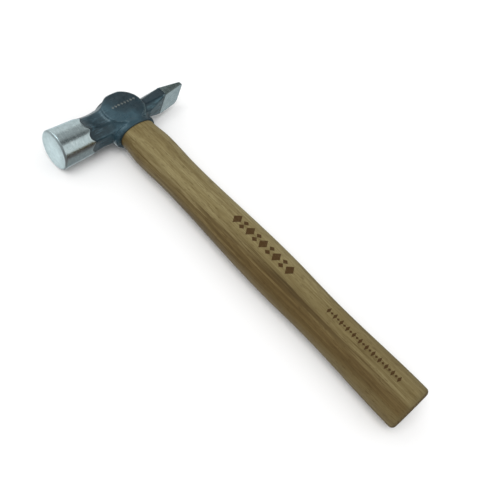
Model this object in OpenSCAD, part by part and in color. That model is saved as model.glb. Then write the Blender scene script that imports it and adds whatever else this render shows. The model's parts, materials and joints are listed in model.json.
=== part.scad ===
// Cross-pein hammer, lying on its side.
// The handle runs along +X, the striking face looks along -Y and the pein
// points along +Y. The two cheeks of the head face up and down.
// The modules are drawn about the crossing of the head's and the handle's
// axes, and placed() moves them so that the hammer rests on Z = 0.

/* [Head] */
// Length from the striking face to the middle of the pein's edge
head_len = 110; // [104:0.5:113]
// Distance from the striking face to the handle's axis
face_reach = 57.5; // [55:0.5:59]
// Width of the head across its two cheek bosses
head_w = 24.4; // [23.4:0.2:25]
// Diameter of the round flat boss on each cheek
boss_d = 29.6; // [28.4:0.2:30]
// Bevel around each boss
boss_bevel = 0.8; // [0.3:0.1:1.2]

/* [Poll] */
// Diameter of the poll behind its bevel
poll_d = 28.4; // [27:0.2:29]
// Diameter of the poll where it meets the neck
poll_back_d = 26.8; // [26:0.2:28]
// Length of the round poll
poll_len = 24; // [20:1:26]
// Bevel around the striking face
face_bevel = 1.4; // [0.8:0.1:2]
// Depth of the octagonal neck, in the plane of the swing
neck_d = 23.6; // [22:0.2:25]
// Width of the octagonal neck, across the cheeks
neck_w = 21; // [19:0.2:22]

/* [Pein] */
// Width of the pein, along its edge
pein_w = 18.6; // [17:0.2:20]
// Thickness of the wedge at its root
pein_root_t = 8.4; // [7:0.2:10]
// Thickness of the blunt edge
pein_edge_t = 2; // [1.4:0.1:3]
// Length of the ground wedge
pein_len = 19; // [16:0.5:20]
// Rounding of the two corners of the edge
pein_corner = 3; // [0.5:0.5:5]
// How far the wedge is ground out of square, in degrees
pein_skew = 11; // [0:1:14]
// Width across the flats where the pein leaves the eye
pein_neck_d = 14.4; // [13:0.2:16]

/* [Eye] */
// How far the collar stands out on the handle's side
collar_reach = 17; // [16:0.5:18]
// Length of the collar, along the head
collar_len = 34.2; // [31:0.2:34.4]
// Width of the collar, across the cheeks
collar_w = 23.8; // [22.6:0.2:24]
// How far the eye's barrel is set towards the striking face
collar_shift = 0.8; // [0:0.1:1]
// How far the top of the eye stands from the head's axis
top_reach = 14.2; // [13.2:0.1:14.4]
// Length of the land around the top of the eye
top_len = 26; // [24:0.5:27]
// Length of the eye at its waist
eye_len = 20; // [18:0.5:20]
// Width of the eye at its waist
eye_w = 13.6; // [12:0.2:13.8]
// Length of the eye's top mouth
eye_top_len = 21.6; // [20.6:0.2:22]
// Length of the eye's mouth inside the collar
eye_mouth_len = 27.2; // [25:0.2:27.4]

/* [Handle] */
// Distance from the head's axis to the butt
handle_reach = 278; // [250:1:300]
// Depth of the handle, in the plane of the swing, where it leaves the collar
shoulder_depth = 27.6; // [27.2:0.2:27.8]
// Depth of the swelling behind the head
heel_depth = 30.4; // [28:0.2:31]
// Depth at the slim throat
throat_depth = 28.6; // [26:0.2:30]
// Depth at the swell of the grip
swell_depth = 32.8; // [31:0.2:34]
// Depth at the waist of the grip
waist_depth = 30.8; // [29:0.2:32]
// Depth just before the butt
butt_depth = 33.6; // [32:0.2:36]
// Width of the grip as a share of its depth
grip_ratio = 0.745; // [0.68:0.005:0.8]
// Rounding of the butt's rim
butt_round = 3; // [1.5:0.5:5]

/* [Wedges] */
// Thickness of the wooden wedge at the top
wood_wedge_t = 3.2; // [2:0.2:3.6]
// How deep the wooden wedge goes
wood_wedge_deep = 21; // [16:1:24]
// Thickness of each steel wedge at the top
steel_wedge_t = 2.4; // [1.6:0.2:3]
// Width of each steel wedge, across the eye
steel_wedge_w = 9; // [7:0.5:10]
// How deep the steel wedges go
steel_wedge_deep = 13; // [9:1:14]
// Distance of the steel wedges from the middle of the eye
steel_wedge_y = 5; // [4:0.5:6]

/* [Hidden] */

steel_blue = [0.22, 0.30, 0.35];
hickory = [0.62, 0.53, 0.37];
pale_beech = [0.80, 0.68, 0.48];
bright_steel = [0.72, 0.75, 0.76];

// Clearance between pieces that are driven tight together
fit_gap = 0.05;
// How far a cutting shape runs past the face that it opens
bite = 1;
// Where the eye is narrowest, a little above the head's axis
eye_waist_x = -2;
// Width of the land around the eye's two mouths
lip = 1.2;
// Thickness left at the tips of the wedges
wood_wedge_tip = 0.8;
steel_wedge_tip = 0.5;
round_fn = 96;
arc_steps = 10;
pein_reach = head_len - face_reach;
top_half = max(top_reach, poll_d / 2);
rest_half = max(poll_d, head_w) / 2;
root_y = pein_reach - pein_len;
neck_end = boss_d / 2 - 3;
// Where the upper and the lower corner of the pein's edge would be if they were sharp
pein_lean = pein_w / 2 * tan(pein_skew);
// The rounded upper corner reaches a little less far
skew_loss = pein_corner * tan(pein_skew) / (1 + tan(pein_skew));
pein_far = pein_reach + pein_lean - skew_loss;

// ---------- placing ----------

module placed() {
    translate([
        top_half - (handle_reach + top_half) / 2,
        (face_reach - pein_far) / 2,
        rest_half
    ])
        children();
}

// ---------- curves ----------

// Point at t on the curve from a to c that is pulled towards b
function bend(a, b, c, t) = a * pow(1 - t, 2) + b * 2 * t * (1 - t) + c * pow(t, 2);

// The same curve as a list of points
function bend_points(a, b, c) = [for (i = [0:arc_steps]) bend(a, b, c, i / arc_steps)];

// A half outline [half width, y] closed by its mirror image
function mirrored(side) = concat(
    side,
    [for (i = [len(side) - 1:-1:0]) [-side[i][0], side[i][1]]]
);

// A half outline [x, half width] closed by its mirror image
function mirrored_across(side) = concat(
    side,
    [for (i = [len(side) - 1:-1:0]) [side[i][0], -side[i][1]]]
);

// Smooth step from 0 to 1
function ease(t) = (1 - cos(180 * min(max(t, 0), 1))) / 2;

// Smooth value at x through stations [x, value]
function through(stations, x, i = 0) =
    x <= stations[0][0] ? stations[0][1] :
    i >= len(stations) - 1 ? stations[i][1] :
    x <= stations[i + 1][0]
        ? stations[i][1] + (stations[i + 1][1] - stations[i][1])
            * ease((x - stations[i][0]) / (stations[i + 1][0] - stations[i][0]))
        : through(stations, x, i + 1);

// ---------- lofted ovals along X ----------

oval_sides = 36;

// One rounded oval at x, with half sizes along Y and Z and a roundness power
function oval_ring(x, half_y, half_z, power) = [
    for (i = [0:oval_sides - 1])
        let (
            a = 360 * i / oval_sides,
            c = cos(a),
            s = sin(a),
            k = pow(pow(abs(c), power) + pow(abs(s), power), -1 / power)
        )
        [x, half_y * k * c, half_z * k * s]
];

// Closed solid through a list of rings
module loft(rings) {
    n = len(rings);
    m = oval_sides;
    walls = [
        for (r = [0:n - 2], i = [0:m - 1])
            [r * m + i, (r + 1) * m + i, (r + 1) * m + (i + 1) % m, r * m + (i + 1) % m]
    ];
    polyhedron(
        points = [for (ring = rings) each ring],
        faces = concat([[for (i = [0:m - 1]) i]], walls, [[for (i = [m - 1:-1:0]) (n - 1) * m + i]])
    );
}

// ---------- the eye and what fills it ----------

// The space in the eye, made smaller all round by gap. It narrows from both
// mouths to its waist and runs on past both faces of the head.
module eye_form(gap) {
    rotate([0, 90, 0])
        scale([eye_w / eye_len, 1, 1]) {
            translate([0, 0, eye_waist_x])
                cylinder(
                    r1 = eye_len / 2 - gap,
                    r2 = eye_mouth_len / 2 - gap,
                    h = collar_reach + bite - eye_waist_x,
                    $fn = round_fn
                );
            translate([0, 0, -top_half - bite])
                cylinder(
                    r1 = eye_top_len / 2 - gap,
                    r2 = eye_len / 2 - gap,
                    h = eye_waist_x + top_half + bite,
                    $fn = round_fn
                );
        }
}

// The part of the eye's space that the tenon fills
module tenon_form() {
    intersection() {
        eye_form(fit_gap);
        translate([-top_reach, -collar_len, -collar_w])
            cube([collar_reach + top_reach + bite / 2, 2 * collar_len, 2 * collar_w]);
    }
}

// ---------- head ----------

// Bar along Y with one pair of flats, turned about Y: 0 limits X, 90 limits Z
module flats(side, turn) {
    rotate([0, turn, 0])
        linear_extrude(height = 3 * head_w, center = true)
            polygon(mirrored(side));
}

// Half outline of the neck: it leaves the poll, dips to waist and flares to eye_half
function neck_side(waist, eye_half) =
    let (
        start = [poll_back_d / 2 + 0.3, -face_reach + poll_len - 2],
        end = [eye_half, -neck_end],
        pull = [2 * waist - (start[0] + end[0]) / 2, start[1] + 9]
    )
    concat(
        [[0, -face_reach], [poll_d / 2 + bite, -face_reach]],
        bend_points(start, pull, end),
        [[0, -neck_end]]
    );

// Round poll with its bevelled striking face. Eight flats start in its back
// end, dip to the neck and flare out again to the eye.
module poll_and_neck() {
    intersection() {
        translate([0, -face_reach, 0])
            rotate([-90, 0, 0])
                rotate_extrude($fn = round_fn)
                    polygon([
                        [0, 0],
                        [poll_d / 2 - face_bevel, 0],
                        [poll_d / 2, face_bevel],
                        [poll_back_d / 2, poll_len],
                        [poll_back_d / 2, face_reach - neck_end],
                        [0, face_reach - neck_end]
                    ]);
        flats(neck_side(neck_d / 2, poll_back_d / 2), 0);
        flats(neck_side(neck_w / 2, head_w / 2 - boss_bevel), 90);
        flats(neck_side(neck_d / 2, poll_back_d / 2 - 0.5), 45);
        flats(neck_side(neck_d / 2, poll_back_d / 2 - 0.5), -45);
    }
}

// Disc whose two flat ends are the bosses on the cheeks
module cheek_disc() {
    rotate_extrude($fn = round_fn)
        polygon([
            [0, -head_w / 2],
            [boss_d / 2 - boss_bevel, -head_w / 2],
            [boss_d / 2, -head_w / 2 + boss_bevel],
            [boss_d / 2, head_w / 2 - boss_bevel],
            [boss_d / 2 - boss_bevel, head_w / 2],
            [0, head_w / 2]
        ]);
}

// Oval barrel around the eye. It widens from the land at its top and flares
// into the collar's lip on the handle's side.
module eye_barrel() {
    half = collar_len / 2;
    throat = top_len / 2 + 1.6;
    translate([0, -collar_shift, 0])
        rotate([0, 90, 0])
            scale([collar_w / collar_len, 1, 1])
                rotate_extrude($fn = round_fn)
                    polygon(concat(
                        [[0, -top_reach], [top_len / 2 - lip, -top_reach], [top_len / 2, -top_reach + lip]],
                        bend_points(
                            [throat, collar_reach - 12],
                            [throat + 0.2, collar_reach - 5],
                            [half, collar_reach - 3]
                        ),
                        [[half, collar_reach - lip], [half - lip, collar_reach], [0, collar_reach]]
                    ));
}

// Half of the pein's outline seen from the handle, to the corner at corner_y on
// the edge's line, which rises by slope for each millimetre outwards
function pein_half(corner_y, slope) =
    let (start = boss_d / 2 - 5, neck = pein_neck_d / 2, half = pein_w / 2)
    concat(
        [[0, start]],
        bend_points([head_w / 2 - 0.5, start], [neck - 0.8, start + 6], [neck + 0.4, boss_d / 2 + 5.5]),
        [[half, root_y]],
        bend_points(
            [half, corner_y - pein_corner],
            [half, corner_y],
            [half - pein_corner, corner_y - pein_corner * slope]
        )
    );

// Turns a shape about X by the skew, about the middle of the wedge's root
module skewed() {
    translate([0, root_y, 0])
        rotate([-pein_skew, 0, 0])
            translate([0, -root_y, 0])
                children();
}

// Waisted root of the pein and its ground wedge
module pein() {
    start = boss_d / 2 - 5;
    waist_y = boss_d / 2 + 5.5;
    neck = pein_neck_d / 2;
    edge_y = pein_len * cos(pein_skew);
    slope = (pein_root_t - pein_edge_t) / 2 / edge_y;
    thickness = concat(
        [[0, start - head_w]],
        [[head_w, start - head_w]],
        bend_points([head_w / 2 - 1.5, start], [neck - 1.2, start + 5], [neck - 0.6, waist_y]),
        [[pein_root_t / 2, root_y], [pein_edge_t / 2 - slope * bite, root_y + edge_y + bite]],
        [[0, root_y + edge_y + bite]]
    );
    upper = pein_half(pein_reach + pein_lean, tan(pein_skew));
    lower = pein_half(pein_reach - pein_lean, -tan(pein_skew));
    outline = concat(
        lower,
        [for (i = [len(upper) - 1:-1:1]) [-upper[i][0], upper[i][1]]]
    );
    corner = concat(
        [[0, start]],
        bend_points([head_w / 2, start], [neck - 0.8, start + 6], [neck, waist_y]),
        [[(pein_w + pein_root_t) / 2.9, root_y], [pein_w / 2, root_y + 1], [pein_w / 2, pein_far + bite]],
        [[0, pein_far + bite]]
    );
    intersection() {
        skewed() flats(thickness, 0);
        rotate([0, 90, 0])
            linear_extrude(height = 3 * head_w, center = true)
                polygon(outline);
        flats(corner, 45);
        flats(corner, -45);
    }
}

module head() {
    color(steel_blue)
        placed()
            difference() {
                union() {
                    poll_and_neck();
                    cheek_disc();
                    eye_barrel();
                    pein();
                }
                eye_form(0);
                translate([-top_reach - head_w, -head_len / 2, -head_w])
                    cube([head_w, head_len, 2 * head_w]);
            }
}

// ---------- handle ----------

shoulder_x = collar_reach + fit_gap;
shoulder_ratio = 0.74;
grip_end = handle_reach - butt_round;
grip_depths = [
    [shoulder_x, shoulder_depth],
    [36, heel_depth],
    [66, throat_depth],
    [handle_reach * 0.565, swell_depth],
    [handle_reach * 0.735, waist_depth],
    [handle_reach * 0.97, butt_depth]
];
grip_ratios = [[shoulder_x, shoulder_ratio], [60, grip_ratio]];
grip_power = 2.25;
grip_rings = 56;
butt_rings = 5;

// Section of the grip at x, drawn in by inset
function grip_ring(x, section_x, inset) =
    let (half_y = through(grip_depths, section_x) / 2)
    oval_ring(x, half_y - inset, half_y * through(grip_ratios, section_x) - inset, grip_power);

// Outer form of the grip, from the collar to the rounded butt
module grip() {
    loft(concat(
        [for (i = [0:grip_rings])
            let (x = shoulder_x + (grip_end - shoulder_x) * i / grip_rings)
            grip_ring(x, x, 0)],
        [for (i = [1:butt_rings])
            let (a = 90 * i / butt_rings)
            grip_ring(grip_end + butt_round * sin(a), grip_end, butt_round * (1 - cos(a)))]
    ));
}

// Prism that narrows from t at the top of the eye to tip, deep into the handle.
// A slot for it is larger by grow all round and open at the top.
module wedge_form(t, tip, deep, wide, grow) {
    top = grow > 0 ? -top_reach - bite : -top_reach;
    rotate([90, 0, 0])
        linear_extrude(height = wide + 2 * grow, center = true)
            polygon(mirrored_across([
                [top, t / 2 + grow],
                [-top_reach + deep + grow, tip / 2 + grow]
            ]));
}

// Wooden wedge along the eye's long way
module wood_wedge_form(grow) {
    wedge_form(wood_wedge_t, wood_wedge_tip, wood_wedge_deep, collar_len, grow);
}

// Steel wedge across the wooden one, on the side of the face (-1) or of the pein (1)
module steel_wedge_form(side, grow) {
    translate([0, side * steel_wedge_y, 0])
        rotate([90, 0, 0])
            wedge_form(steel_wedge_t, steel_wedge_tip, steel_wedge_deep, steel_wedge_w, grow);
}

module handle() {
    color(hickory)
        placed()
            difference() {
                union() {
                    tenon_form();
                    grip();
                }
                wood_wedge_form(fit_gap);
                steel_wedge_form(-1, fit_gap);
                steel_wedge_form(1, fit_gap);
            }
}

// ---------- wedges ----------

module wooden_wedge() {
    color(pale_beech)
        placed()
            difference() {
                intersection() {
                    wood_wedge_form(0);
                    tenon_form();
                }
                steel_wedge_form(-1, fit_gap);
                steel_wedge_form(1, fit_gap);
            }
}

module steel_wedge(side) {
    color(bright_steel)
        placed()
            steel_wedge_form(side, 0);
}

module steel_wedge_face_side() {
    steel_wedge(-1);
}

module steel_wedge_pein_side() {
    steel_wedge(1);
}

head();
handle();
wooden_wedge();
steel_wedge_face_side();
steel_wedge_pein_side();
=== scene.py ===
import json
import math

import bpy
import numpy as np
from mathutils import Euler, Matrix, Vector


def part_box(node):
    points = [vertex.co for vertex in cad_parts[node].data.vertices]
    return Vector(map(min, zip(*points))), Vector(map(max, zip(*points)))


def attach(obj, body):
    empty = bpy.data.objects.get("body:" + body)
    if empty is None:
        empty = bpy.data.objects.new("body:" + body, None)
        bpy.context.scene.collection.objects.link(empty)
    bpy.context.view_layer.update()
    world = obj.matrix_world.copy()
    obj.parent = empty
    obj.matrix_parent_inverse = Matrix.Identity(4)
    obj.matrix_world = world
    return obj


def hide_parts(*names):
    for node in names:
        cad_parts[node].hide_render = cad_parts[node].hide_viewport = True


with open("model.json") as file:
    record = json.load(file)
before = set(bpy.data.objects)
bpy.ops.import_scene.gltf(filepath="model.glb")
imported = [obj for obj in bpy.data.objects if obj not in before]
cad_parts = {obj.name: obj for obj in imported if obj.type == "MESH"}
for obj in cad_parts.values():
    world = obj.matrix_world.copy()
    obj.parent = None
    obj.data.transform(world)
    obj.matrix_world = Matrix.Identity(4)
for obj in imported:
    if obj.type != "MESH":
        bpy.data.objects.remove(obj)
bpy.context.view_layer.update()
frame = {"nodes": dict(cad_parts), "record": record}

# A cross-pein hammer lying on its side: forged head, hickory handle and the
# wedges that hold them together. Shapes are worked out in millimetres about
# the crossing of the head's and the handle's axes (+X along the handle, +Y to
# the pein, +Z out of the upper cheek) and then moved into the frame.

MM = 0.001

# ---------- sizes from the frame ----------

mounts = {mount["name"]: Vector(mount["pos_m"]) for mount in frame["record"]["mounts"]}
CROSSING = Vector((mounts["cheek_up"].x, mounts["cheek_up"].y, mounts["striking_face"].z))


def about_crossing(corner):
    """A point of the frame in millimetres about the crossing of the axes."""
    return (corner - CROSSING) / MM


head_low, head_high = (about_crossing(corner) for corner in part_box("head"))
handle_high = about_crossing(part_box("handle")[1])

FACE_Y = head_low.y
PEIN_Y = head_high.y
TOP_X = head_low.x
COLLAR_X = head_high.x
POLL_R = head_high.z
CHEEK_Z = (mounts["cheek_up"].z - CROSSING.z) / MM
BUTT_X = handle_high.x
BUTT_HALF = handle_high.y

# ---------- the head's own sizes, in millimetres, its angle in radians ----------

FACE_BEVEL = 1.4
FACE_CROWN = 0.35
POLL_BACK_R = 13.4
POLL_LEN = 24.0
NECK_HALF_X = 11.8
NECK_HALF_Z = 10.5
BOSS_R = 14.8
NECK_END = BOSS_R - 3.0
PEIN_LEN = 19.0
PEIN_HALF_W = 9.3
PEIN_SKEW = math.radians(11.0)
PEIN_ROOT_HALF_T = 4.2
PEIN_EDGE_HALF_T = 1.0
PEIN_CORNER = 3.0
PEIN_NECK_HALF = 7.2
COLLAR_HALF = 17.1
COLLAR_RATIO = 23.8 / 34.2
COLLAR_SHIFT = 0.8
LIP = 1.2
TOP_HALF = 13.0
EYE_RATIO = 13.6 / 20.0
EYE_WAIST_X = -2.0
EYE_WAIST_HALF = 10.0
EYE_TOP_HALF = 10.8
EYE_MOUTH_HALF = 13.6
PEIN_SLOPE = math.tan(PEIN_SKEW)
EDGE_Y = PEIN_Y - PEIN_HALF_W * PEIN_SLOPE + PEIN_CORNER * PEIN_SLOPE / (1 + PEIN_SLOPE)
ROOT_Y = EDGE_Y - PEIN_LEN

# Softness of the edges, and of the fillets between the forged forms
CRISP = 0.35
RIDGE = 0.9
BOSS_EDGE = 0.9
CHEEK_EDGE = 0.5
TOP_EDGE = 0.6
EYE_EDGE = 0.7
COLLAR_EDGE = 0.8
LIP_FILLET = 1.6
BARREL_FILLET = 2.4
FILLET = 4.0
PEIN_SIDE_EDGE = 0.5
PEIN_DIAGONAL_EDGE = 0.7
PEIN_CORNER_ROUND = 1.17 * PEIN_CORNER

# The neck's flats start inside the poll's end, a little proud of it, and run out
# at the eye with these half sizes
FLATS_FROM_Y = FACE_Y + POLL_LEN - 2.0
FLATS_FROM_HALF = POLL_BACK_R + 0.3
FLATS_PULL_Y = FLATS_FROM_Y + 9.0
FLATS_RISE = 0.06
EYE_HALF_Z = CHEEK_Z - 0.8
EYE_HALF_CORNER = POLL_BACK_R - 0.5
NECK_LAST_Y = -4.0

# Half length of the barrel's oval: even from the top to the flare, then out to the lip
THROAT_HALF = TOP_HALF + 1.6
FLARE_FROM = COLLAR_X - 12.0
FLARE = (
    (FLARE_FROM, THROAT_HALF),
    (COLLAR_X - 5.0, THROAT_HALF + 0.2),
    (COLLAR_X - 3.0, COLLAR_HALF),
)
LIP_HALF = COLLAR_HALF - LIP * 0.6
LIP_SLOPE = 0.9
LIP_LEVEL = 0.75

# The pein's neck as curves of (y, half size): square to the wedge's facets, along
# its edge, and over the corners between them
PEIN_FROM_Y = BOSS_R - 5.0
PEIN_WAIST_Y = BOSS_R + 5.5
PEIN_THIN = (
    (PEIN_FROM_Y, CHEEK_Z - 1.5),
    (PEIN_FROM_Y + 5.0, PEIN_NECK_HALF - 1.2),
    (PEIN_WAIST_Y, PEIN_NECK_HALF - 0.6),
)
PEIN_WIDE = (
    (PEIN_FROM_Y, CHEEK_Z - 1.5),
    (PEIN_FROM_Y + 6.0, PEIN_NECK_HALF - 0.8),
    (PEIN_WAIST_Y, PEIN_NECK_HALF + 0.4),
)
PEIN_DIAGONAL = (
    (PEIN_FROM_Y, CHEEK_Z),
    (PEIN_FROM_Y + 6.0, PEIN_NECK_HALF - 0.8),
    (PEIN_WAIST_Y, PEIN_NECK_HALF),
)
# The corners are cut at the wedge's root, and the cut lifts off within 1 mm past it
PEIN_ROOT_DIAGONAL = (PEIN_HALF_W + PEIN_ROOT_HALF_T) / 1.45
PEIN_DIAGONAL_GONE = 8.0
PEIN_EDGE_INSET = 0.03

# Beyond the bosses the cheeks' cap lifts off, so that it cuts only the bosses
CAP_FROM_Y = BOSS_R + 1.5
CAP_RISE = 0.6

GRID_STEP = 0.42
GRID_MARGIN = 1.2


# ---------- soft solids ----------

def soft_max(a, b, width):
    """Larger of two fields, rounded over width where they meet."""
    h = np.maximum(width - np.abs(a - b), 0.0) / width
    return np.maximum(a, b) + h * h * width * 0.25


def soft_min(a, b, width):
    """Smaller of two fields, filleted over width where they meet."""
    return -soft_max(-a, -b, width)


def bend_at(y, start, pull, end):
    """Half width at y on the curve from start to end that is pulled towards pull.

    Each point is (y, half width).
    """
    (y0, h0), (y1, h1), (y2, h2) = start, pull, end
    a = y0 - 2 * y1 + y2
    b = 2 * (y1 - y0)
    c = y0 - np.clip(y, y0, y2)
    if abs(a) < 1e-6:
        t = -c / b
    else:
        t = (-b + np.sqrt(np.maximum(b * b - 4 * a * c, 0.0))) / (2 * a)
    return h0 * (1 - t) ** 2 + 2 * h1 * t * (1 - t) + h2 * t ** 2


def neck_half(y, waist, eye_half):
    """Half width of one pair of the neck's flats, from the poll to the eye."""
    start = (FLATS_FROM_Y, FLATS_FROM_HALF)
    pull = (FLATS_PULL_Y, 2 * waist - (FLATS_FROM_HALF + eye_half) / 2)
    end = (-NECK_END, eye_half)
    clear_of_poll = FLATS_RISE * np.maximum(FLATS_FROM_Y - y, 0.0)
    return bend_at(y, start, pull, end) + clear_of_poll


def poll_side(r, y):
    """Distance from the poll's tapered side."""
    along = np.clip((y - FACE_Y) / POLL_LEN, 0.0, 1.0)
    return r - (POLL_R + (POLL_BACK_R - POLL_R) * along)


def poll_field(x, y, z):
    """Round tapered poll with its bevelled, slightly crowned face."""
    r = np.hypot(x, z)
    bevel = (r - (POLL_R - FACE_BEVEL) - (y - FACE_Y)) / math.sqrt(2)
    face = FACE_Y + FACE_CROWN * (r / POLL_R) ** 2 - y
    return soft_max(soft_max(poll_side(r, y), bevel, CRISP), face, CRISP)


def diagonal_size(x, z):
    """How far a point lies from the head's axis along the nearer diagonal."""
    return np.maximum(np.abs(x + z), np.abs(x - z)) * math.sqrt(0.5)


def neck_flats(x, y, z):
    """Eight flats that dip to the neck's waist and flare out to the eye."""
    x_side = np.abs(x) - neck_half(y, NECK_HALF_X, POLL_BACK_R)
    z_side = np.abs(z) - neck_half(y, NECK_HALF_Z, EYE_HALF_Z)
    corner = diagonal_size(x, z) - neck_half(y, NECK_HALF_X, EYE_HALF_CORNER)
    return soft_max(soft_max(x_side, z_side, RIDGE), corner, RIDGE)


def neck_field(x, y, z):
    """Poll and neck, ending inside the eye."""
    body = soft_max(poll_field(x, y, z), neck_flats(x, y, z), CRISP)
    return np.maximum(body, y - NECK_LAST_Y)


def boss_field(x, y, z):
    """Disc whose flat ends are the bosses on the cheeks."""
    return soft_max(np.hypot(x, y) - BOSS_R, np.abs(z) - CHEEK_Z, BOSS_EDGE)


def oval_field(y, z, half, ratio):
    """Distance to an oval tube along X, whose half sizes are half and half * ratio."""
    zs = z / ratio
    rho = np.sqrt(y * y + zs * zs) + 1e-9
    steep = np.sqrt(y * y + (zs / ratio) ** 2) / rho + 1e-9
    return (rho - half) / steep


def barrel_field(x, y, z):
    """Oval barrel around the eye, flaring into the collar's lip."""
    y = y + COLLAR_SHIFT
    down = np.clip((x - TOP_X) / (FLARE_FROM - TOP_X), 0.0, 1.0)
    straight = TOP_HALF + (THROAT_HALF - TOP_HALF) * down
    half = np.where(x > FLARE_FROM, bend_at(x, *FLARE), straight)
    side = oval_field(y, z, half, COLLAR_RATIO)
    lip_half = LIP_HALF + (COLLAR_X - x) * LIP_SLOPE
    lip = oval_field(y, z, lip_half, COLLAR_RATIO) * LIP_LEVEL
    body = soft_max(side, lip, LIP_FILLET)
    return soft_max(body, x - COLLAR_X, COLLAR_EDGE)


def along_wedge(y, z):
    """Distance from the wedge's skewed root towards its edge."""
    return (y - ROOT_Y) * math.cos(PEIN_SKEW) - z * math.sin(PEIN_SKEW)


def pein_field(x, y, z):
    """Waisted root of the pein and its ground wedge."""
    reach = along_wedge(y, z)
    y_skewed = ROOT_Y + reach
    waist_to_root = ROOT_Y - PEIN_WAIST_Y
    swell = np.clip((y - PEIN_WAIST_Y) / waist_to_root, 0.0, 1.0)
    swell_skewed = np.clip((y_skewed - PEIN_WAIST_Y) / waist_to_root, 0.0, 1.0)
    taper = np.clip(reach / (PEIN_LEN * math.cos(PEIN_SKEW)), 0.0, 1.1)

    thin = bend_at(y_skewed, *PEIN_THIN)
    thin = thin + (PEIN_ROOT_HALF_T - thin) * swell_skewed
    thin = thin + (PEIN_EDGE_HALF_T - PEIN_ROOT_HALF_T) * taper
    wide = bend_at(y, *PEIN_WIDE)
    wide = wide + (PEIN_HALF_W - wide) * swell
    diagonal = bend_at(y, *PEIN_DIAGONAL)
    diagonal = diagonal + (PEIN_ROOT_DIAGONAL - diagonal) * swell
    diagonal = diagonal + PEIN_DIAGONAL_GONE * np.clip(y - ROOT_Y, 0.0, 1.0)

    edge = (y - EDGE_Y) * math.cos(PEIN_SKEW) - z * math.sin(PEIN_SKEW)
    outline = soft_max(np.abs(z) - wide, edge + PEIN_EDGE_INSET, PEIN_CORNER_ROUND)
    sides = soft_max(np.abs(x) - thin, outline, PEIN_SIDE_EDGE)
    sides = soft_max(sides, diagonal_size(x, z) - diagonal, PEIN_DIAGONAL_EDGE)
    return np.maximum(sides, -y)


def eye_field(x, y, z):
    """The eye: an oval hole that narrows from both mouths to its waist."""
    to_mouth = (x - EYE_WAIST_X) / (COLLAR_X - EYE_WAIST_X)
    to_top = (EYE_WAIST_X - x) / (EYE_WAIST_X - TOP_X)
    grow = np.where(
        x > EYE_WAIST_X,
        (EYE_MOUTH_HALF - EYE_WAIST_HALF) * to_mouth,
        (EYE_TOP_HALF - EYE_WAIST_HALF) * to_top,
    )
    return oval_field(y, z, EYE_WAIST_HALF + grow, EYE_RATIO)


def head_field(x, y, z):
    """The whole forged head: negative inside, positive outside."""
    body = soft_min(neck_field(x, y, z), boss_field(x, y, z), FILLET)
    body = soft_min(body, pein_field(x, y, z), FILLET)
    body = soft_min(body, barrel_field(x, y, z), BARREL_FILLET)
    cheek_cap = CHEEK_Z + CAP_RISE * np.maximum(np.abs(y) - CAP_FROM_Y, 0.0)
    body = soft_max(body, np.abs(z) - cheek_cap, CHEEK_EDGE)
    body = soft_max(body, TOP_X - x, TOP_EDGE)
    return soft_max(body, -eye_field(x, y, z), EYE_EDGE)


# ---------- meshing a field ----------

def net_of(field, low, high, step):
    """Closed quad mesh of field's zero surface inside a box (a surface net)."""
    axes = [np.arange(low[i], high[i] + step, step) for i in range(3)]
    grid = np.meshgrid(*axes, indexing="ij")
    value = field(*grid)
    inside = value < 0
    shape = np.array(value.shape) - 1

    def corner(array, i, j, k):
        return array[i:i + shape[0], j:j + shape[1], k:k + shape[2]]

    corners = [(i, j, k) for i in (0, 1) for j in (0, 1) for k in (0, 1)]
    count = sum(corner(inside, *c).astype(np.int8) for c in corners)
    active = (count > 0) & (count < 8)
    index = np.full(active.shape, -1, np.int64)
    index[active] = np.arange(active.sum())
    cells = np.argwhere(active)

    total = np.zeros((len(cells), 3))
    crossings = np.zeros(len(cells))
    for axis in range(3):
        others = [a for a in range(3) if a != axis]
        for u in (0, 1):
            for v in (0, 1):
                first = np.zeros(3, int)
                first[others[0]] = u
                first[others[1]] = v
                second = first.copy()
                second[axis] = 1
                a = value[tuple((cells + first).T)]
                b = value[tuple((cells + second).T)]
                cut = (a < 0) != (b < 0)
                t = np.where(cut, a / np.where(cut, a - b, 1.0), 0.0)
                place = cells + first + t[:, None] * (second - first)
                total[cut] += place[cut]
                crossings[cut] += 1
    points = np.array(low) + step * total / crossings[:, None]

    faces = []
    for axis in range(3):
        u, v = [a for a in range(3) if a != axis]
        if axis == 1:
            u, v = v, u
        ends = [slice(None)] * 3
        starts = [slice(None)] * 3
        starts[axis] = slice(0, -1)
        ends[axis] = slice(1, None)
        a = inside[tuple(starts)]
        b = inside[tuple(ends)]
        for solid, order in (((a & ~b), 1), ((~a & b), -1)):
            where = np.argwhere(solid)
            keep = (where[:, u] > 0) & (where[:, v] > 0)
            keep &= (where[:, u] < shape[u]) & (where[:, v] < shape[v])
            where = where[keep]
            ring = []
            for du, dv in ((0, 0), (-1, 0), (-1, -1), (0, -1)):
                cell = where.copy()
                cell[:, u] += du
                cell[:, v] += dv
                ring.append(index[tuple(cell.T)])
            quad = np.stack(ring[::order], axis=1)
            faces.append(quad)
    return points, np.concatenate(faces)


def slope_of(field, points, reach=0.02):
    """Slope of the field at each point, from its values reach to both sides."""
    return np.stack([
        (field(*(points + reach * unit).T) - field(*(points - reach * unit).T)) / (2 * reach)
        for unit in np.eye(3)
    ], axis=1)


def settle(points, field, rounds=4, most=0.3, flattest=0.05):
    """Moves the points onto the field's zero surface, at most so far in each round."""
    for _ in range(rounds):
        slope = slope_of(field, points)
        move = field(*points.T) / np.maximum((slope ** 2).sum(1), flattest)
        shift = -move[:, None] * slope
        length = np.linalg.norm(shift, axis=1, keepdims=True)
        points = points + shift * np.minimum(1.0, most / np.maximum(length, 1e-9))
    return points


# ---------- making objects ----------

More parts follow.
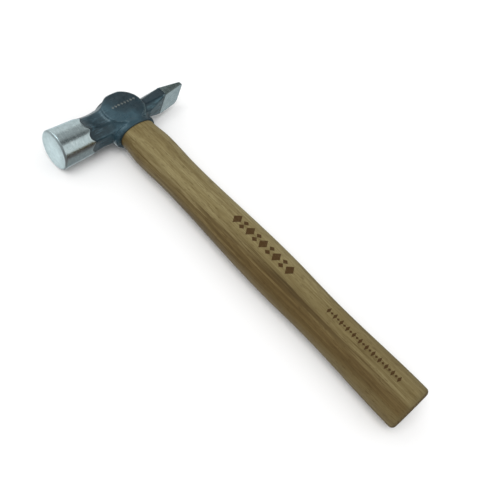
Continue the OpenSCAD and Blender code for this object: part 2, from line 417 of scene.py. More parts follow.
def in_scene(name, data):
    """New object in the scene with this data."""
    made = bpy.data.objects.new(name, data)
    bpy.context.scene.collection.objects.link(made)
    return made


def object_of(name, points, faces, smooth=True):
    """Mesh object from points in millimetres about the crossing."""
    mesh = bpy.data.meshes.new(name)
    place = np.asarray(points) * MM + np.array(CROSSING)
    mesh.from_pydata(place.tolist(), [], [list(map(int, face)) for face in faces])
    mesh.update()
    if smooth:
        mesh.shade_smooth()
    return in_scene(name, mesh)


def numbers_on(piece, name, values):
    """Stores one number per vertex for the piece's material."""
    attribute = piece.data.attributes.new(name, "FLOAT", "POINT")
    attribute.data.foreach_set("value", np.asarray(values, np.float32))


def finished(piece, material, node):
    """Gives the piece its material, slot and body, and stands it in for the CAD node."""
    piece.data.materials.clear()
    piece.data.materials.append(material)
    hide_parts(node)
    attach(piece, "root")


# ---------- materials ----------

def linear(red, green, blue):
    """Scene-linear colour from sRGB display values between 0 and 255."""
    parts = []
    for value in (red, green, blue):
        value = value / 255
        parts.append(value / 12.92 if value <= 0.04045 else ((value + 0.055) / 1.055) ** 2.4)
    return (*parts, 1.0)


# Colours that follow a noise, as (place in the noise, colour)
LACQUER_TONES = ((0.32, linear(14, 29, 36)), (0.50, linear(25, 44, 52)), (0.68, linear(42, 66, 76)))
STEEL_TONES = (
    (0.30, linear(158, 169, 171)),
    (0.52, linear(180, 191, 193)),
    (0.75, linear(202, 211, 212)),
)
SAP_TONES = (
    (0.32, linear(108, 95, 61)),
    (0.45, linear(128, 116, 80)),
    (0.58, linear(142, 131, 94)),
    (0.70, linear(153, 143, 106)),
)
HEART_TONES = (
    (0.38, linear(46, 32, 14)),
    (0.48, linear(67, 50, 25)),
    (0.58, linear(89, 72, 42)),
    (0.70, linear(115, 99, 65)),
)
# End grain, whose colour is also laid round the rounded ends as painted shade
END_GRAIN_AND_SHADE_TONES = (
    (0.38, linear(70, 56, 34)),
    (0.55, linear(90, 76, 50)),
    (0.7, linear(106, 92, 63)),
)
WEDGE_WOOD_TONES = ((0.35, linear(134, 110, 74)), (0.6, linear(172, 149, 110)))
WEDGE_STEEL_TONES = ((0.35, linear(120, 122, 122)), (0.65, linear(185, 187, 186)))
FLOOR_TONES = ((0.3, (0.90, 0.90, 0.90, 1.0)), (0.7, (0.93, 0.93, 0.93, 1.0)))

# Where features of the head fade in or out, in millimetres about the crossing
# Where the painted shade over the pein's neck fades in
PEIN_PAINTED_SHADE_Y = (12.0, 21.0)
# Where the painted highlight streaks on the pein's and the neck's flats lie
PEIN_FLATS_X = (3.0, 4.6)
PEIN_FLATS_Y = (15.0, 19.0)
NECK_HIGHLIGHTS_IN_Y = (-35.0, -29.0)
NECK_HIGHLIGHTS_OUT_Y = (-14.0, -6.0)
# Where the painted highlight round the fillet lies
FILLET_HIGHLIGHT_Y = (8.0, 11.0)
FILLET_HIGHLIGHT_R = BOSS_R + 1.2
PEIN_SIDE_Z = (PEIN_HALF_W - 0.7, PEIN_HALF_W - 0.2)
PEIN_SIDE_FROM_Y = 20.0
STRIKING_FACE_Y = FACE_Y + 0.8
BEVEL_Y = FACE_Y + FACE_BEVEL / 2

# Where features of the handle fade in or out. The heartwood's border runs slantwise
# from the head to the butt.
BORDER_X = (20.0, 280.0)
BORDER_Y = (-9.8, -2.2)
HEART_EDGE = (-3.6, 3.6)
# Where the far sapwood, which also stands in for a painted sheen on the lower edge, fades in
FAR_SAP_AND_SHEEN_EDGE = (-12.5, -8.0)
PALE_HEART_X = (50.0, 170.0)
BUTT_TONE_X = (160.0, 270.0)
# Where the wood turns darker in patches before the butt
DARKER_NEAR_BUTT_X = (BUTT_X - 5.0, BUTT_X - 1.0)
MARKS_ABOVE_Z = 4.0

# Colours of single features of the head
FORGED_PATCH = linear(60, 88, 98)
# Painted shade over the pein's neck
PEIN_PAINTED_SHADE = linear(13, 29, 37)
# Painted highlight streaks on the pein's and the neck's flats
PEIN_HIGHLIGHT_STREAK = linear(62, 89, 98)
NECK_HIGHLIGHT_STREAK = linear(62, 86, 96)
# Painted highlight round the fillet between the bosses and the pein's neck
FILLET_PAINTED_HIGHLIGHT = linear(120, 142, 146)
NEAR_GROUND = linear(14, 26, 32)
RUBBED_EDGE = linear(96, 112, 116)
STAMPED_MARK = linear(122, 124, 118)
PEIN_SIDE = linear(108, 120, 117)

# Colours of single features of the handle
THREAD = linear(62, 44, 20)
CLOUD = linear(112, 96, 60)
TOWARDS_BUTT = linear(84, 70, 46)
FIBRE_SHADE = linear(86, 71, 42)
PORE = linear(66, 50, 26)
# Darker in patches near the butt
DARKER_NEAR_BUTT = linear(92, 84, 58)
BURNT = linear(62, 40, 16)


# A Mix node has one set of sockets for each kind of data: these are the colours'
MIX_COLOUR_A, MIX_COLOUR_B, MIX_COLOUR_OUT = 6, 7, 2


class Nodes:
    """Short ways to add nodes to a node tree."""

    def __init__(self, tree):
        self.tree = tree
        self.tree.nodes.clear()

    def node(self, kind, **settings):
        """New node of this kind, with its settings."""
        made = self.tree.nodes.new(kind)
        for key, value in settings.items():
            setattr(made, key, value)
        return made

    def feed(self, socket, value):
        """Links value to socket, or sets it if it is a plain number or colour."""
        if isinstance(value, bpy.types.NodeSocket):
            self.tree.links.new(value, socket)
        else:
            socket.default_value = value

    def math(self, operation, a, b=0.0):
        """Result of a Math node on one or two values."""
        made = self.node("ShaderNodeMath", operation=operation)
        for socket, value in zip(made.inputs, (a, b)):
            self.feed(socket, value)
        return made.outputs[0]

    def plus(self, a, b):
        return self.math("ADD", a, b)

    def minus(self, a, b):
        return self.math("SUBTRACT", a, b)

    def times(self, a, b):
        return self.math("MULTIPLY", a, b)

    def size(self, a):
        """The value without its sign."""
        return self.math("ABSOLUTE", a)

    def parts(self, vector):
        """The vector's X, Y and Z."""
        made = self.node("ShaderNodeSeparateXYZ")
        self.feed(made.inputs[0], vector)
        return made.outputs

    def vector(self, x, y, z):
        """Vector from its three parts."""
        made = self.node("ShaderNodeCombineXYZ")
        for socket, value in zip(made.inputs, (x, y, z)):
            self.feed(socket, value)
        return made.outputs[0]

    def stretched(self, vector, scale):
        """The vector times a scale for each axis."""
        made = self.node("ShaderNodeVectorMath", operation="MULTIPLY")
        self.feed(made.inputs[0], vector)
        made.inputs[1].default_value = scale
        return made.outputs[0]

    def noise(self, vector, scale, detail, rough=0.55):
        """Noise between 0 and 1, with scale features in a metre."""
        made = self.node("ShaderNodeTexNoise")
        self.feed(made.inputs["Vector"], vector)
        made.inputs["Scale"].default_value = scale
        made.inputs["Detail"].default_value = detail
        made.inputs["Roughness"].default_value = rough
        return made.outputs["Fac"]

    def zone(self, value, ends, to_low=0.0, to_high=1.0):
        """Maps a place in metres between two ends in millimetres onto to_low..to_high."""
        low, high = ends
        return self.span(value, low * MM, high * MM, to_low, to_high)

    def span(self, value, low, high, to_low=0.0, to_high=1.0, smooth=True):
        """Maps low..high onto to_low..to_high, held at both ends."""
        made = self.node("ShaderNodeMapRange")
        made.interpolation_type = "SMOOTHSTEP" if smooth else "LINEAR"
        for key, number in zip(("Value", "From Min", "From Max", "To Min", "To Max"),
                               (value, low, high, to_low, to_high)):
            self.feed(made.inputs[key], number)
        return made.outputs["Result"]

    def blend(self, share, a, b):
        """Colour a, going over to colour b as share goes from 0 to 1."""
        made = self.node("ShaderNodeMix", data_type="RGBA")
        self.feed(made.inputs["Factor"], share)
        self.feed(made.inputs[MIX_COLOUR_A], a)
        self.feed(made.inputs[MIX_COLOUR_B], b)
        return made.outputs[MIX_COLOUR_OUT]

    def ramp(self, value, *stops):
        """Colour ramp through (place, colour) stops."""
        made = self.node("ShaderNodeValToRGB")
        self.feed(made.inputs[0], value)
        elements = made.color_ramp.elements
        while len(elements) < len(stops):
            elements.new(0.5)
        for element, (place, colour) in zip(elements, stops):
            element.position = place
            element.color = colour
        return made.outputs[0]

    def bump(self, height, depth, strength, under=None):
        """Normal of a relief whose heights span depth metres, over another normal."""
        made = self.node("ShaderNodeBump")
        made.inputs["Strength"].default_value = strength
        made.inputs["Distance"].default_value = depth
        self.feed(made.inputs["Height"], height)
        if under is not None:
            self.feed(made.inputs["Normal"], under)
        return made.outputs["Normal"]

    def within(self, value, limit, soft):
        """1 where value is under limit, fading to 0 over soft to both sides of the limit."""
        return self.span(value, limit - soft, limit + soft, 1.0, 0.0)


class Shader(Nodes):
    """A node material under construction."""

    def __init__(self, name):
        self.material = bpy.data.materials.new(name)
        self.material.use_nodes = True
        super().__init__(self.material.node_tree)
        self.output = self.node("ShaderNodeOutputMaterial")
        self.bsdf = self.node("ShaderNodeBsdfPrincipled")
        self.tree.links.new(self.bsdf.outputs["BSDF"], self.output.inputs["Surface"])
        self.place = self.node("ShaderNodeTexCoord").outputs["Object"]

    def about_crossing(self):
        """Coordinates in metres about the crossing of the axes."""
        parts = self.parts(self.place)
        return [self.minus(part, centre) for part, centre in zip(parts, CROSSING)]

    def cells(self, along, start, pitch, count):
        """Number of the cell along a row, the place in it (-0.5 to 0.5) and a mask of the row."""
        u = self.math("DIVIDE", self.minus(along, start), pitch)
        number = self.math("FLOOR", u)
        local = self.minus(self.minus(u, number), 0.5)
        first = self.math("GREATER_THAN", u, 0.0)
        last = self.math("LESS_THAN", u, float(count))
        return number, local, self.times(first, last)

    def attribute(self, name):
        """Number that the mesh stores for each vertex."""
        made = self.node("ShaderNodeAttribute", attribute_name=name)
        return made.outputs["Fac"]

    def close(self, **inputs):
        """Feeds the shader's own inputs and returns the finished material."""
        for key, value in inputs.items():
            self.feed(self.bsdf.inputs[key.replace("_", " ")], value)
        return self.material


def lacquer_colour(s, x, y, ragged, forged):
    """Blue-grey lacquer, mottled by forging and rubbed thin along sharp edges, with painted shade
    over the pein's neck and painted highlights on the flats and round the fillet.
    """
    paint = s.ramp(s.noise(s.place, 45.0, 3.0, 0.5), *LACQUER_TONES)
    paint = s.blend(s.span(forged, 0.50, 0.75, 0.0, 0.3), paint, FORGED_PATCH)
    # Painted shade: the lacquer darkens over the pein's neck
    paint = s.blend(s.zone(y, PEIN_PAINTED_SHADE_Y, 0.0, 0.8), paint, PEIN_PAINTED_SHADE)

    # Painted highlights: lighter streaks along the pein's flats and the neck's flats
    highlight_streak_noise = s.noise(s.stretched(s.place, (1.0, 0.15, 1.0)), 800.0, 3.0, 0.6)
    on_pein_flats = s.times(s.zone(s.size(x), PEIN_FLATS_X), s.zone(y, PEIN_FLATS_Y))
    highlight_streaks = s.times(on_pein_flats, s.span(highlight_streak_noise, 0.42, 0.60, 0.3, 0.9))
    paint = s.blend(highlight_streaks, paint, PEIN_HIGHLIGHT_STREAK)
    on_neck = s.times(s.zone(y, NECK_HIGHLIGHTS_IN_Y), s.zone(y, NECK_HIGHLIGHTS_OUT_Y, 1.0, 0.0))
    highlight_streaks = s.times(on_neck, s.span(highlight_streak_noise, 0.48, 0.66, 0.0, 0.6))
    paint = s.blend(highlight_streaks, paint, NECK_HIGHLIGHT_STREAK)

    # Painted highlight: a lighter, ragged band round the fillet between the bosses and the pein's
    # neck
    from_axis = s.math("SQRT", s.plus(s.times(x, x), s.times(y, y)))
    from_fillet = s.size(s.minus(from_axis, FILLET_HIGHLIGHT_R * MM))
    fillet = s.times(s.within(from_fillet, 0.0010, 0.0008), s.zone(y, FILLET_HIGHLIGHT_Y, 0.0, 0.6))
    fillet_highlight = s.times(fillet, s.span(ragged, 0.35, 0.6, 0.4, 1.0))
    paint = s.blend(fillet_highlight, paint, FILLET_PAINTED_HIGHLIGHT)

    near_ground = s.span(s.attribute("ground_mm"), -1.6, -0.2, 0.0, 0.7)
    paint = s.blend(near_ground, paint, NEAR_GROUND)
    on_edges = s.span(s.attribute("sharp"), 0.07, 0.2)
    rubbed = s.times(on_edges, s.span(ragged, 0.40, 0.62, 0.15, 0.9))
    return s.blend(rubbed, paint, RUBBED_EDGE)


def grinding_lines(s, x, y, z):
    """Fine lines round the poll, and an even grain on the striking face."""
    turn = s.math("ARCTAN2", x, z)
    around = s.vector(s.times(turn, 3.0), s.times(y, 2600.0), s.times(z, 40.0))
    lines = s.noise(around, 1.0, 3.0, 0.6)
    even = s.noise(s.place, 700.0, 4.0, 0.7)
    on_face = s.math("LESS_THAN", y, STRIKING_FACE_Y * MM)
    return s.plus(s.times(lines, s.minus(1.0, on_face)), s.times(even, on_face))


def bare_steel_colour(s, y, z, lines):
    """Ground steel, duller on the sides of the pein."""
    mottle = s.noise(s.place, 260.0, 4.0, 0.6)
    steel = s.ramp(s.plus(s.times(lines, 0.5), s.times(mottle, 0.5)), *STEEL_TONES)
    outside = s.zone(s.size(z), PEIN_SIDE_Z)
    pein_side = s.times(outside, s.math("GREATER_THAN", y, PEIN_SIDE_FROM_Y * MM))
    pein_side = s.times(pein_side, s.span(mottle, 0.3, 0.6, 1.0, 0.75))
    return s.blend(pein_side, steel, PEIN_SIDE)


def head_material():
    """Blue-grey lacquer over forged steel, with ground bare metal."""
    s = Shader("head_lacquer_and_steel")
    x, y, z = s.about_crossing()

    ragged = s.noise(s.place, 900.0, 3.0)
    edge = s.plus(s.attribute("ground_mm"), s.times(s.minus(ragged, 0.5), 0.3))
    bare = s.span(edge, -0.12, 0.12)
    covered = s.minus(1.0, bare)

    forged = s.noise(s.place, 160.0, 5.0, 0.6)
    lines = grinding_lines(s, x, y, z)
    mark = cheek_mark(s, x, y, z)
    paint = lacquer_colour(s, x, y, ragged, forged)
    paint = s.blend(s.times(mark, 0.85), paint, STAMPED_MARK)

    rough_paint = s.span(forged, 0.2, 0.8, 0.22, 0.38, smooth=False)
    rough_steel = s.span(lines, 0.25, 0.75, 0.15, 0.28, smooth=False)
    from_bevel = s.size(s.minus(y, BEVEL_Y * MM))
    on_bevel = s.within(from_bevel, FACE_BEVEL * MM / 2, 0.0003)
    rough_steel = s.plus(rough_steel, s.times(on_bevel, 0.3))

    height = s.plus(s.times(forged, covered), s.times(lines, s.times(bare, 0.25)))
    forged_bumps = s.bump(height, 0.0006, 0.5)
    lacquer_step = s.minus(covered, s.times(mark, 0.7))
    return s.close(
        Base_Color=s.blend(bare, paint, bare_steel_colour(s, y, z, lines)),
        Metallic=bare,
        Specular_IOR_Level=0.45,
        Specular_Tint=(0.9, 0.97, 1.0, 1.0),
        Roughness=s.plus(s.times(rough_steel, bare), s.times(rough_paint, covered)),
        Normal=s.bump(lacquer_step, 0.00012, 0.8, forged_bumps),
    )


def lozenges(s, local, across, long, soft):
    """Mask of a diamond in each cell of a row.

    Local is the place along the cell and long the diamond's reach there. Across is
    the distance from the row's line, as a share of the diamond's half width.
    """
    return s.within(s.plus(s.math("DIVIDE", s.size(local), long), across), 1.0, soft)


def off_line(s, value, line, half):
    """Distance of value from line, as a share of half."""
    return s.math("DIVIDE", s.size(s.minus(value, line)), half)


def cheek_mark(s, x, y, z):
    """Row of small stamped lozenges across the upper boss."""
    line, depth = -0.0025, 0.0005
    _, local, row = s.cells(y, start=-0.0088, pitch=0.0026, count=8)
    mask = lozenges(s, local, off_line(s, x, line, half=0.0012), long=0.42, soft=0.15)
    on_top = s.math("GREATER_THAN", z, CHEEK_Z * MM - depth)
    worn = s.span(s.noise(s.place, 1800.0, 3.0, 0.6), 0.38, 0.62)
    return s.times(s.times(mask, s.times(row, on_top)), worn)


def taking_turns(s, number, even, odd):
    """The even mask in even cells, the odd one in the others."""
    is_odd = s.math("FLOORED_MODULO", number, 2.0)
    return s.plus(s.times(odd, is_odd), s.times(even, s.minus(1.0, is_odd)))


def burnt_marks(s, x, y, z):
    """Two rows of plain burnt lozenges on the upper side of the handle."""
    above = s.math("GREATER_THAN", z, MARKS_ABOVE_Z * MM)

    line, apart = 0.0013, 0.0022
    number, local, row = s.cells(x, start=0.1150, pitch=0.00611, count=9)
    large = lozenges(s, local, off_line(s, y, line, half=0.0046), long=0.52, soft=0.06)
    beside = s.size(s.minus(y, line))
    pair = lozenges(s, local, off_line(s, beside, apart, half=0.0020), long=0.36, soft=0.10)
    bold = s.times(taking_turns(s, number, large, pair), row)

    line = 0.0014
    number, local, row = s.cells(x, start=0.2010, pitch=0.00265, count=23)
    slim = lozenges(s, local, off_line(s, y, line, half=0.0027), long=0.42, soft=0.15)
    dot = lozenges(s, local, off_line(s, y, line, half=0.0011), long=0.40, soft=0.18)
    fine = s.times(taking_turns(s, number, slim, dot), row)

    speckle = s.span(s.noise(s.place, 1500.0, 3.0, 0.6), 0.28, 0.5, 0.78, 1.0)
    return s.times(s.times(s.plus(bold, fine), above), speckle)


def end_grain_and_shade(s, lean, broad):
    """Dotted end grain with faint growth rings, also laid round the handle's rounded ends as
    painted shade.
    """
    dots = s.noise(s.place, 2600.0, 3.0, 0.6)
    rings = s.math("SINE", s.plus(s.times(lean, 2600.0), s.times(broad, 7.0)))
    return s.ramp(s.plus(dots, s.times(rings, 0.05)), *END_GRAIN_AND_SHADE_TONES)


def hickory_material():
    """Thinly varnished hickory: pale sapwood, a darker stripe of heartwood and burnt marks, with a
    painted sheen along the far lower edge and painted shade on the rounded ends.
    """
    s = Shader("hickory")
    x, y, z = s.about_crossing()

    def grain(stretch, scale, detail, rough):
        """Noise drawn out along the handle."""
        return s.noise(s.vector(s.times(x, stretch), y, z), scale, detail, rough)

    broad = grain(0.05, 130.0, 3.0, 0.5)
    streak = grain(0.03, 520.0, 4.0, 0.6)
    thread = grain(0.02, 1150.0, 3.0, 0.6)
    fibre = grain(0.05, 2200.0, 3.0, 0.6)
    pore = grain(0.16, 1300.0, 3.0, 0.55)
    cloud = s.noise(s.place, 22.0, 2.0, 0.5)

    border_from, border_to = (end * MM for end in BORDER_X)
    y_from, y_to = (end * MM for end in BORDER_Y)
    border = s.span(x, border_from, border_to, y_from, y_to, smooth=False)
    lean = s.plus(y, s.times(z, 0.22))
    wander = s.plus(s.times(s.minus(broad, 0.5), 0.014), s.times(s.minus(streak, 0.5), 0.008))
    depth = s.minus(s.plus(lean, wander), border)
    # Paler sapwood again along the far lower edge, also standing in as a painted sheen there
    far_sap_and_sheen = s.zone(depth, FAR_SAP_AND_SHEEN_EDGE, 0.5, 0.0)
    in_heart = s.minus(s.zone(depth, HEART_EDGE, 1.0, 0.0), far_sap_and_sheen)
    heart_share = s.times(in_heart, s.zone(x, PALE_HEART_X, 0.70, 0.95))
    tone = s.plus(s.times(streak, 0.55), s.times(broad, 0.45))
    wood = s.blend(heart_share, s.ramp(tone, *SAP_TONES), s.ramp(tone, *HEART_TONES))

    thread_share = s.plus(0.16, s.times(in_heart, 0.34))
    wood = s.blend(s.times(s.span(thread, 0.50, 0.64), thread_share), wood, THREAD)
    wood = s.blend(s.span(cloud, 0.35, 0.7, 0.0, 0.22), wood, CLOUD)
    wood = s.blend(s.zone(x, BUTT_TONE_X, 0.0, 0.16), wood, TOWARDS_BUTT)
    wood = s.blend(s.span(fibre, 0.35, 0.65, 0.0, 0.38), wood, FIBRE_SHADE)
    wood = s.blend(s.times(s.span(pore, 0.57, 0.66), 0.42), wood, PORE)
    # Darker in patches over the last few millimetres before the butt
    at_butt = s.zone(x, DARKER_NEAR_BUTT_X, 0.0, 0.35)
    wood = s.blend(s.times(at_butt, s.span(cloud, 0.4, 0.6)), wood, DARKER_NEAR_BUTT)

    # Darker end grain on the ends, spread round the butt's rounding as painted shade
    facing = s.parts(s.node("ShaderNodeTexCoord").outputs["Normal"])[0]
    wood = s.blend(s.span(s.size(facing), 0.35, 0.8), wood, end_grain_and_shade(s, lean, broad))
    burnt = burnt_marks(s, x, y, z)
    wood = s.blend(s.times(burnt, 0.92), wood, BURNT)

    grooves = s.plus(s.times(fibre, 0.5), s.times(pore, 0.5))
    normal = s.bump(grooves, 0.0002, 0.35)
    return s.close(
        Base_Color=wood,
        Roughness=s.span(fibre, 0.3, 0.7, 0.42, 0.58, smooth=False),
        Specular_IOR_Level=0.09,
        Normal=s.bump(s.minus(1.0, burnt), 0.00025, 0.7, normal),
    )


def wedge_wood_material():
    """Pale end grain of the wooden wedge."""
    s = Shader("wedge_beech")
    fleck = s.noise(s.stretched(s.place, (0.3, 1.0, 1.0)), 1400.0, 4.0, 0.6)
    return s.close(
        Base_Color=s.ramp(fleck, *WEDGE_WOOD_TONES),
        Roughness=0.6,
        Normal=s.bump(fleck, 0.0001, 0.5),
    )


def wedge_steel_material():
    """Plain steel of the two small wedges, scuffed by the hammer."""
    s = Shader("wedge_steel")
    scuff = s.noise(s.stretched(s.place, (1.0, 4.0, 1.0)), 900.0, 4.0, 0.6)
    return s.close(
        Base_Color=s.ramp(scuff, *WEDGE_STEEL_TONES),
        Metallic=1.0,
        Roughness=s.span(scuff, 0.3, 0.7, 0.3, 0.5, smooth=False),
        Normal=s.bump(scuff, 0.0001, 0.5),
    )


def floor_material():
    """Plain pale floor."""
    s = Shader("pale_floor")
    return s.close(Base_Color=s.ramp(s.noise(s.place, 2.0, 2.0), *FLOOR_TONES), Roughness=0.9)


# ---------- the head ----------

# The grinding stops where the poll's round meets the flats, but no more than this
# short of the poll's end or past it
GROUND_STEEPNESS = 2.5
GROUND_SHORT = 2.5
GROUND_PAST = 3.0


def ground_distance(points):
    """Millimetres past the edge of the lacquer, positive where the metal is ground bare."""
    x, y, z = points.T
    past_flats = (poll_side(np.hypot(x, z), y) - neck_flats(x, y, z)) * GROUND_STEEPNESS
    from_poll_end = FACE_Y + POLL_LEN - y
    poll = np.clip(past_flats, from_poll_end - GROUND_SHORT, from_poll_end + GROUND_PAST)
    return np.where(y < 0, poll, along_wedge(y, z))


def sharpness(points, depth=0.8):
    """0 on flat or hollow metal, rising to about 0.3 on its sharp outer edges."""
    slope = slope_of(head_field, points)
    steep = np.linalg.norm(slope, axis=1, keepdims=True) + 1e-6
    below = points - depth * slope / steep
    return np.clip(1 + head_field(*below.T) / (depth * steep[:, 0]), 0.0, 1.0)


def make_head():
    """The forged head, as one mesh of its field."""
    low = [head_low.x - GRID_MARGIN, head_low.y - GRID_MARGIN, -POLL_R - GRID_MARGIN]
    high = [head_high.x + GRID_MARGIN, head_high.y + GRID_MARGIN, POLL_R + GRID_MARGIN]
    points, faces = net_of(head_field, low, high, GRID_STEP)
    points = settle(points, head_field)
    piece = object_of("forged_head", points, faces)
    numbers_on(piece, "ground_mm", ground_distance(points))
    numbers_on(piece, "sharp", sharpness(points))
    finished(piece, head_material(), "head")


# ---------- the handle ----------

SHOULDER_X = COLLAR_X + 0.05
BUTT_ROUND = 3.0
SIDES = 112
TENON_RINGS = 40
GRIP_RINGS = 300
BUTT_RINGS = 10
GRIP_POWER = 2.25
BUTT_DEPTH = 33.6
# (x, depth as a share of the butt's): shoulder, swell, neck, belly, waist and butt
GRIP_STATIONS = (
    (SHOULDER_X, 27.6 / BUTT_DEPTH),
    (36.0, 30.4 / BUTT_DEPTH),
    (66.0, 28.6 / BUTT_DEPTH),
    (BUTT_X * 0.565, 32.8 / BUTT_DEPTH),
    (BUTT_X * 0.735, 30.8 / BUTT_DEPTH),
    (BUTT_X * 0.97, 1.0),
)
# (x, width as a share of the depth)
GRIP_RATIOS = ((SHOULDER_X, 0.74), (60.0, 0.745))

# The wedges' slots: thickness at the tip, and the axis that a wedge is thin along
WOODEN_TIP = 0.8
STEEL_TIP = 0.5
Y_AXIS, Z_AXIS = 1, 2


def through(stations, x):
    """Smooth value at x through the stations."""
    for (x0, v0), (x1, v1) in zip(stations, stations[1:]):
        if x <= x1:
            t = min(max((x - x0) / (x1 - x0), 0.0), 1.0)
            return v0 + (v1 - v0) * (1 - math.cos(math.pi * t)) / 2
    return stations[-1][1]


def oval_ring(x, half_y, half_z, power):
    """One rounded oval at x."""
    a = np.linspace(0, 2 * math.pi, SIDES, endpoint=False)
    c, s = np.cos(a), np.sin(a)
    k = (np.abs(c) ** power + np.abs(s) ** power) ** (-1 / power)
    return np.stack([np.full(SIDES, x), half_y * k * c, half_z * k * s], axis=1)


def grip_ring(x, section_x, inset=0.0):
    """Ring at x with the grip's section at section_x, drawn in by inset."""
    half_y = BUTT_HALF * through(GRIP_STATIONS, section_x)
    half_z = half_y * through(GRIP_RATIOS, section_x)
    return oval_ring(x, half_y - inset, half_z - inset, GRIP_POWER)


def tenon_ring(x, gap=0.05):
    """Ring of the tenon at x, which fills the eye but for the gap."""
    if x > EYE_WAIST_X:
        t = (x - EYE_WAIST_X) / (COLLAR_X - EYE_WAIST_X)
        half = EYE_WAIST_HALF + (EYE_MOUTH_HALF - EYE_WAIST_HALF) * min(t, 1.0)
    else:
        t = (EYE_WAIST_X - x) / (EYE_WAIST_X - TOP_X)
        half = EYE_WAIST_HALF + (EYE_TOP_HALF - EYE_WAIST_HALF) * t
    return oval_ring(x, half - gap, (half - gap) * EYE_RATIO, 2.0)


def swept(name, rings):
    """Closed mesh through rings, with one face at each end."""
    last = (len(rings) - 1) * SIDES
    faces = []
    for start in range(0, last, SIDES):
        for i in range(SIDES):
            j = (i + 1) % SIDES
            faces.append((start + i, start + j, start + SIDES + j, start + SIDES + i))
    faces.append(tuple(range(SIDES))[::-1])
    faces.append(tuple(last + i for i in range(SIDES)))
    return object_of(name, np.concatenate(rings), faces)


def slot_for(node, tip, thin_axis, clearance=0.12, above=1.0):
    """Cutter for a wedge's slot, which starts above the wedge and narrows to its tip."""
    low, high = (about_crossing(corner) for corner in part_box(node))
    centre, half = (low + high) / 2, (high - low) / 2
    tip_half = half.copy()
    tip_half[thin_axis] = tip / 2
    points = []
    for x, reach in ((low.x - above, half), (high.x + clearance, tip_half)):
        for side_y in (-1, 1):
            for side_z in (-1, 1):
                points.append([
                    x,
                    centre.y + (reach.y + clearance) * side_y,
                    centre.z + (reach.z + clearance) * side_z,
                ])
    faces = [(0, 1, 3, 2), (4, 6, 7, 5), (0, 4, 5, 1), (2, 3, 7, 6), (0, 2, 6, 4), (1, 5, 7, 3)]
    return object_of("slot", points, faces, smooth=False)


def cut(piece, cutters):
    """Takes the cutters out of the piece for good."""
    for cutter in cutters:
        modifier = piece.modifiers.new("slot", "BOOLEAN")
        modifier.operation = "DIFFERENCE"
        modifier.solver = "EXACT"
        modifier.object = cutter
    evaluated = piece.evaluated_get(bpy.context.evaluated_depsgraph_get())
    mesh = bpy.data.meshes.new_from_object(evaluated)
    piece.modifiers.clear()
    piece.data = mesh
    for cutter in cutters:
        bpy.data.objects.remove(cutter)


def make_handle():
    """The handle, from the tenon's end to the rounded butt, with the wedges' slots."""
    grip_end = BUTT_X - BUTT_ROUND
    rings = [tenon_ring(x) for x in np.linspace(TOP_X, SHOULDER_X, TENON_RINGS)]
    rings += [grip_ring(x, x) for x in np.linspace(SHOULDER_X, grip_end, GRIP_RINGS)]
    for i in range(1, BUTT_RINGS + 1):
        a = math.pi / 2 * i / BUTT_RINGS
        x = grip_end + BUTT_ROUND * math.sin(a)
        rings.append(grip_ring(x, grip_end, inset=BUTT_ROUND * (1 - math.cos(a))))
    piece = swept("hickory_handle", rings)
    cut(piece, [
        slot_for("wooden_wedge", WOODEN_TIP, Z_AXIS),
        slot_for("steel_wedge_face_side", STEEL_TIP, Y_AXIS),
        slot_for("steel_wedge_pein_side", STEEL_TIP, Y_AXIS),
    ])
    finished(piece, hickory_material(), "handle")


# ---------- wedges, stage, light and camera ----------

def dress_wedges():
    """The wedges keep their CAD shapes and get their materials."""
    wood = wedge_wood_material()
    steel = wedge_steel_material()
    for name, material in (
        ("wooden_wedge", wood),
        ("steel_wedge_face_side", steel),
        ("steel_wedge_pein_side", steel),
    ):
        materials = frame["nodes"][name].data.materials
        materials.clear()
        materials.append(material)


FLOOR_HALF = 30.0


def make_floor():
    """Pale floor under the hammer. Bright metal doesn't mirror it."""
    mesh = bpy.data.meshes.new("floor")
    corners = [(FLOOR_HALF * x, FLOOR_HALF * y, 0) for x, y in ((-1, -1), (1, -1), (1, 1), (-1, 1))]
    mesh.from_pydata(corners, [], [(0, 1, 2, 3)])
    floor = in_scene("floor", mesh)
    floor.data.materials.append(floor_material())
    floor.visible_glossy = False


def make_sun():
    """Wide, weak sun from above and before the hammer. Bright metal mirrors only the room."""
    data = bpy.data.lights.new("key", "SUN")
    data.angle = math.radians(45.0)
    data.energy = 1.5
    light = in_scene("key", data)
    towards_sun = Vector((0.07, -0.42, 1.0))
    light.rotation_euler = towards_sun.to_track_quat("Z", "Y").to_euler()
    light.visible_glossy = False


def card(level, red=0.95, green=1.0, blue=1.0):
    """Light of a card in the room: its level and its tint."""
    return (red * level, green * level, blue * level, 1.0)


WHITE = (1.0, 1.0, 1.0, 1.0)
EVEN_LIGHT = card(0.77, 1.0)

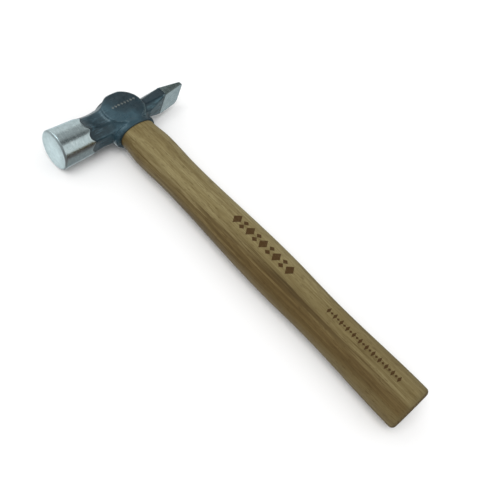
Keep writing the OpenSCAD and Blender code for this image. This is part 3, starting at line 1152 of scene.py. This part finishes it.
# The room that bright metal mirrors, above and below the horizon. Each card has
# a direction, the degrees from it that the card fills and where it has faded out.
ROOM_ABOVE = card(0.50)
CARDS_ABOVE = (
    ((-1.0, 0.3, 0.15), 30, 75, card(1.0)),
    ((0.34, 0.39, 0.86), 7, 18, card(0.10)),
    ((0.80, 0.43, 0.38), 27, 31, card(1.05)),
    ((-0.42, 0.67, 0.61), 8, 18, card(0.08)),
    ((-0.45, -0.25, 0.85), 12, 24, card(3.8, 0.84, 0.96)),
)
ROOM_BELOW = card(0.14, 1.1, 0.93, 0.88)
CARDS_BELOW = (
    ((0.22, 0.37, -0.90), 38, 48, card(0.38)),
    ((-0.70, 0.43, -0.56), 26, 42, card(0.95)),
    ((0.02, 0.84, -0.54), 12, 22, card(0.32, 0.6, 0.9)),
    ((0.27, 0.66, -0.70), 7, 13, card(0.66)),
    ((-0.54, -0.41, -0.74), 24, 42, card(1.5)),
)
HORIZON = 0.03


def studio_world():
    """White to the camera, even soft light on everything, and a room of pale cards to mirror."""
    world = bpy.data.worlds.new("studio")
    world.use_nodes = True
    n = Nodes(world.node_tree)
    ray = n.node("ShaderNodeTexCoord").outputs["Generated"]

    def hung_with(colour, cards):
        """The colour with the cards in front of it."""
        for direction, full, gone, light in cards:
            turned = n.node("ShaderNodeVectorMath", operation="DOT_PRODUCT")
            n.feed(turned.inputs[0], ray)
            turned.inputs[1].default_value = Vector(direction).normalized()
            near, far = math.cos(math.radians(full)), math.cos(math.radians(gone))
            colour = n.blend(n.span(turned.outputs["Value"], far, near), colour, light)
        return colour

    above = hung_with(ROOM_ABOVE, CARDS_ABOVE)
    below = hung_with(ROOM_BELOW, CARDS_BELOW)
    room = n.blend(n.span(n.parts(ray)[2], -HORIZON, HORIZON), below, above)

    path = n.node("ShaderNodeLightPath")
    shown = n.blend(path.outputs["Is Glossy Ray"], EVEN_LIGHT, room)
    shown = n.blend(path.outputs["Is Camera Ray"], shown, WHITE)
    background = n.node("ShaderNodeBackground")
    n.feed(background.inputs["Color"], shown)
    output = n.node("ShaderNodeOutputWorld")
    n.feed(output.inputs["Surface"], background.outputs[0])
    bpy.context.scene.world = world


def make_light():
    """Plain soft studio light, shown without any toning."""
    make_sun()
    studio_world()
    bpy.context.scene.view_settings.view_transform = "Standard"


CAMERA_FROM_CROSSING = Vector((0.2702, -0.2393, 0.3665))
CAMERA_TURN = (34.782, -12.428, 46.543)


def make_camera():
    """Camera at the photograph's viewing angle."""
    data = bpy.data.cameras.new("camera")
    data.sensor_width = 36.0
    data.lens = 50.4
    data.clip_start = 0.01
    camera = in_scene("camera", data)
    camera.location = CROSSING + CAMERA_FROM_CROSSING
    camera.rotation_euler = Euler([math.radians(angle) for angle in CAMERA_TURN], "XYZ")
    bpy.context.scene.camera = camera


make_camera()
make_head()
make_handle()
dress_wedges()
make_floor()
make_light()
